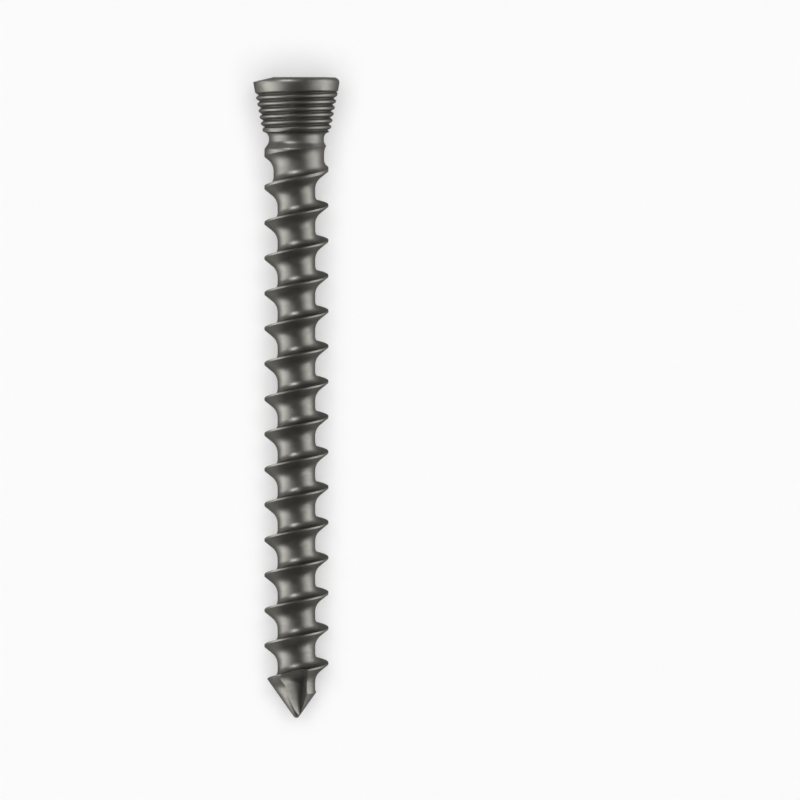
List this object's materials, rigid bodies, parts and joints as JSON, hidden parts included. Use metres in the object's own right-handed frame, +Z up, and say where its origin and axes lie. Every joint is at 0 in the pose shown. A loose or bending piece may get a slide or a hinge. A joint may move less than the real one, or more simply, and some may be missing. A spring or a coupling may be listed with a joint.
{
  "type": "cancellous locking screw",
  "caption": "Bone screw with a coarse deep thread along the whole shank, a fluted cutting point and a tapered locking head with a fine thread and a star recess.",
  "frame": {"origin": "on the surface the screw lies on, under the middle of its length", "axes": "+Y towards the head along the screw, +Z up, away from the surface, +X to the right"},
  "size_m": [0.0068, 0.0501, 0.0067],
  "materials": {
    "titanium": "dark grey anodised titanium alloy, fine turned satin"
  },
  "bodies": {
    "root": {"locking_screw": "titanium"}
  },
  "joints": []
}
